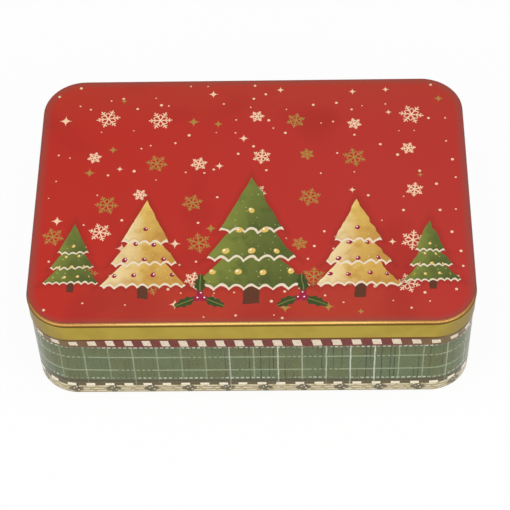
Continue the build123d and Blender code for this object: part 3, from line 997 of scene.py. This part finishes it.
card_half_width = 31.5
card_half_length = 44.0
card_corner = 3.5
card_gap_share = 0.06  # of each card's share of the pack's height, left open under the next
cards_in_pack = 80
card_border = 3.2
lattice_pitch = 4.2
diamond_pitch = 7.0
diamond_reach = 2.1
flake_panel_middle = 25.5  # of the leaflet's green panel, from the leaflet's middle
figure_rows = (6.0, -12.0, -30.0)
figure_pitch = 15.0

paper_white = srgb(238, 234, 222)
paper_edge = srgb(222, 214, 196)
paper_shade = srgb(176, 164, 142)
back_red = srgb(156, 34, 34)
back_cream = srgb(232, 212, 176)
back_gold = srgb(206, 158, 84)
band_red = srgb(164, 38, 36)
band_red_dark = srgb(150, 32, 32)
leaflet_white = srgb(240, 235, 222)
leaflet_cream = srgb(226, 218, 200)
drawing_grey = srgb(70, 66, 60)
leaflet_green = srgb(78, 98, 56)


def card_outline(half_x, half_y):
    """Points round a card: a quarter turn about each of its four corner centres."""
    turn = np.linspace(0.0, math.pi / 2, 6)
    quarters = np.arange(4)[:, None] * (math.pi / 2)
    centre_x = np.array([1, -1, -1, 1])[:, None] * (half_x - card_corner)
    centre_y = np.array([1, 1, -1, -1])[:, None] * (half_y - card_corner)
    x = centre_x + card_corner * np.cos(turn + quarters)
    y = centre_y + card_corner * np.sin(turn + quarters)
    return x.ravel(), y.ravel()


def stack_corners(x, y, middle, floor, pitch, seed):
    """The lower and upper outline of every card, each card turned and shifted a little."""
    rng = np.random.default_rng(seed)
    turn = rng.normal(0.0, 0.0007, (cards_in_pack, 1))
    shift_x = rng.uniform(-0.07, 0.07, (cards_in_pack, 1))
    shift_y = rng.normal(0.0, 0.16, (cards_in_pack, 1)).clip(-0.4, 0.4)
    across = middle.x + shift_x + x * np.cos(turn) - y * np.sin(turn)
    along = middle.y + shift_y + x * np.sin(turn) + y * np.cos(turn)
    bottom = floor + np.arange(cards_in_pack)[:, None] * pitch
    share = np.full((cards_in_pack, 1), 1.0 - card_gap_share)
    share[-1] = 1.0
    points = np.empty((cards_in_pack, 2, len(x), 3))
    points[:, :, :, 0] = across[:, None, :]
    points[:, :, :, 1] = along[:, None, :]
    points[:, 0, :, 2] = bottom
    points[:, 1, :, 2] = bottom + share * pitch
    return points.reshape(-1, 3)


def stack_faces(ring):
    """The cards' faces as corner numbers: sides, then tops, then undersides."""
    start = np.arange(cards_in_pack)[:, None] * 2 * ring
    here = start + np.arange(ring)
    ahead = start + np.roll(np.arange(ring), -1)
    sides = np.stack([here, ahead, ahead + ring, here + ring], axis=-1).reshape(-1, 4)
    return sides.tolist() + (here + ring).tolist() + here[:, ::-1].tolist()


def card_stack(name, node, seed):
    """A slab for each card, in place of a pack, with a little room all round for their shifts."""
    low, high = (Vector(corner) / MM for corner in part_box(node))
    middle = (low + high) / 2
    pitch = (high.z - low.z) / cards_in_pack
    x, y = card_outline((high.x - low.x) / 2 - 0.1, (high.y - low.y) / 2 - 0.1)
    points = stack_corners(x, y, middle, low.z, pitch, seed) * MM
    mesh = bpy.data.meshes.new(name)
    mesh.from_pydata(points.tolist(), [], stack_faces(len(x)))
    piece = put(name, mesh)
    mesh.materials.append(paint_cards(name, middle, low.z, high.z, pitch).material)
    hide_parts(node)
    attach(piece, "tin_body")


def upper_face(nz, z, top):
    """1 on the face that looks up at a height."""
    return (nz > 0.7) * (z > top - 0.05)


def cut_edges(paint, level, fibres):
    """The pack's sides, from the height counted in cards: a tone for each, and a shaded seam."""
    tone = paint.add("ShaderNodeTexWhiteNoise", {1: level.floor()}, noise_dimensions="1D")
    side = paint.mix(tone * 0.5 + fibres * 0.4, paper_white, paper_edge)
    seam = 1.0 - (level.fract() * 6.0).clip()
    return paint.mix(seam * 0.6, side, paper_shade)


def card_back(paint, u, v):
    """A cream lattice with gold dots on red, inside two lines and a white border."""
    over_x = u.size() - (card_half_width - card_border)
    over_y = v.size() - (card_half_length - card_border)
    edge = over_x.most(over_y)
    rising = repeat(u + v, lattice_pitch)
    falling = repeat(u - v, lattice_pitch, lattice_pitch / 2)
    lattice = cover(rising.size().least(falling.size()) - 0.28)
    dots = cover(length_of(repeat(u + v, lattice_pitch, lattice_pitch / 2), falling) - 0.75)
    back = paint.mix(lattice, back_red, back_cream)
    back = paint.mix(dots, back, back_gold)
    back = paint.mix(band(edge, -1.4, 1.7), back, back_red)
    back = paint.mix(band(edge, -1.4, 0.45), back, back_cream)
    return paint.mix(cover(-edge), back, paper_white)


def paint_cards(name, middle, bottom, top, pitch):
    """White cut edges, card by card, and on top a printed red back."""
    paint = Paint(name)
    x, y, z = paint.place()
    nz = paint.place("Normal")[2]
    fibres = paint.noise(paint.vector(x, y, z * 3.0), 0.8, detail=3.0)
    side = cut_edges(paint, (z - bottom) / pitch, fibres)
    back = card_back(paint, x - middle.x, y - middle.y)
    on_top = upper_face(nz, z, top)
    grain = paint.noise(paint.vector(x, y, z), 3.0, detail=2.0)
    paint.set(
        Base_Color=paint.mix(on_top, side, back),
        Roughness=paint.choose(on_top, 0.62 + fibres * 0.15, 0.3 + grain * 0.14),
        Specular_IOR_Level=0.4,
    )
    paint.bump(grain, 0.012, 0.6)
    return paint


def paint_band(name, node):
    """Red paper with cream and gold lines along both edges, and diamonds with dots between them."""
    paint = Paint(name)
    low, high = (Vector(corner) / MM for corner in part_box(node))
    middle = (low + high) / 2
    x, y, z = paint.place()
    nz = paint.place("Normal")[2]
    along = paint.choose(nz.size() > 0.5, z - middle.z, x - middle.x)
    half_width = (high.y - low.y) / 2
    fibres = paint.noise(paint.vector(x * 0.4, y, z * 0.4), 1.4, detail=4.0, roughness=0.65)
    colour = paint.mix(fibres.step_to(0.4, 0.7), band_red, band_red_dark)
    from_edge = half_width - y.size()
    colour = paint.mix(band(from_edge, 1.3, 0.7), colour, back_gold)
    colour = paint.mix(band(from_edge, 2.5, 0.35), colour, back_cream)
    u = repeat(along, diamond_pitch)
    diamond = (u.size() + y.size() * 0.75) * 0.8 - diamond_reach
    for inset, tone in ((0.0, back_cream), (0.55, leaf_green), (1.35, back_gold)):
        colour = paint.mix(cover(diamond + inset), colour, tone)
    dot = length_of(repeat(along, diamond_pitch, diamond_pitch / 2), y) - 0.7
    colour = paint.mix(cover(dot), colour, back_gold)
    between = repeat(along, diamond_pitch / 2, diamond_pitch / 4)
    small = length_of(between, y.size() - 5.6) - 0.45
    colour = paint.mix(cover(small), colour, back_cream)
    paint.set(Base_Color=colour, Roughness=0.44 + fibres * 0.18, Specular_IOR_Level=0.35)
    paint.bump(fibres, 0.03, 0.6)
    return paint


def card_figure(u, v, wide, tall, line):
    """A thin rounded rectangle, as a drawing of a card."""
    outside = length_of((u.size() - (wide - 1.0)).most(0.0), (v.size() - (tall - 1.0)).most(0.0))
    return (outside - 1.0).size() - line


def leaflet_print(paint, u, v, half_x, half_y, paper):
    """A red frame, a green panel with a flake, and three rows of drawn cards."""
    edge = (u.size() - half_x).most(v.size() - half_y)
    colour = paint.mix(band(edge, -3.0, 0.6), paper, back_red)
    colour = paint.mix(band(edge, -4.2, 0.25), colour, back_red)
    over = v - flake_panel_middle
    panel = (u.size() - half_x + 7.0).most(over.size() - 9.0)
    colour = paint.mix(cover(panel), colour, leaflet_green)
    colour = paint.mix(cover(snowflake(u, over, 7.0, 0.35)), colour, paper)
    cell = repeat(u, figure_pitch)
    in_three = u.size() < figure_pitch * 1.5 - 0.1
    for middle_v in figure_rows:
        row = v - middle_v
        drawn = cover(card_figure(cell, row, 4.4, 6.2, 0.22)) * in_three
        colour = paint.mix(drawn, colour, drawing_grey)
        pip = cover(cell.size() + row.size() - 1.7) * in_three
        colour = paint.mix(pip, colour, back_red)
    return colour


def paint_leaflet(node):
    """Uncoated paper, printed on top and darker along its folds."""
    paint = Paint("leaflet_paper")
    low, high = (Vector(corner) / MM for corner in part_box(node))
    middle = (low + high) / 2
    x, y, z = paint.place()
    nz = paint.place("Normal")[2]
    u = x - middle.x
    v = y - middle.y
    fibres = paint.noise(paint.vector(x, y, z), 1.1, detail=5.0, roughness=0.7)
    paper = paint.mix(fibres.step_to(0.4, 0.75), leaflet_white, leaflet_cream)
    half_x = (high.x - low.x) / 2
    half_y = (high.y - low.y) / 2
    colour = leaflet_print(paint, u, v, half_x, half_y, paper)
    on_top = upper_face(nz, z, high.z)
    # darker towards the folded edges
    crease = (1.0 - (half_x - u.size()).clip(0.0, 1.2) / 1.2) * 0.25
    paint.set(
        Base_Color=paint.mix(crease, paint.mix(on_top, paper, colour), paper_shade),
        Roughness=0.66 + fibres * 0.2,
        Specular_IOR_Level=0.25,
    )
    paint.bump(fibres, 0.04, 0.7)
    return paint


# ---- Finishes --------------------------------------------------------------------------------

place_camera()
light_world(0.35, 1.0, 0.25)
softbox("overhead", (0, -60, 900), (900, 420), 4.5)
softbox("front_left", (-700, -700, 600), (500, 500), 3.0)
softbox("front_right", (700, -700, 600), (500, 500), 3.0)
lay_floor()

dress("lid_shell", paint_lid())
dress("body_wall", paint_wall())
dress("base_plate", paint_base())
dress("insert_tray", paint_tray())
brass = (0.56, 0.44, 0.24)
steel = (0.56, 0.56, 0.57)
for side, seed in (("left", 4), ("right", 9)):
    dress(f"hinge_leaf_{side}", paint_hinge(f"hinge_leaf_{side}", brass, 3.0))
    dress(f"hinge_pin_{side}", paint_hinge(f"hinge_pin_{side}", steel, 5.0))
    dress(f"hinge_rivets_{side}", paint_hinge(f"hinge_rivets_{side}", brass, 1.0))
    card_stack(f"cards_{side}", f"card_pack_{side}", seed)
    dress(f"pack_band_{side}", paint_band(f"paper_band_{side}", f"pack_band_{side}"))
dress("rules_leaflet", paint_leaflet("rules_leaflet"))

bpy.context.scene.view_settings.view_transform = "Standard"
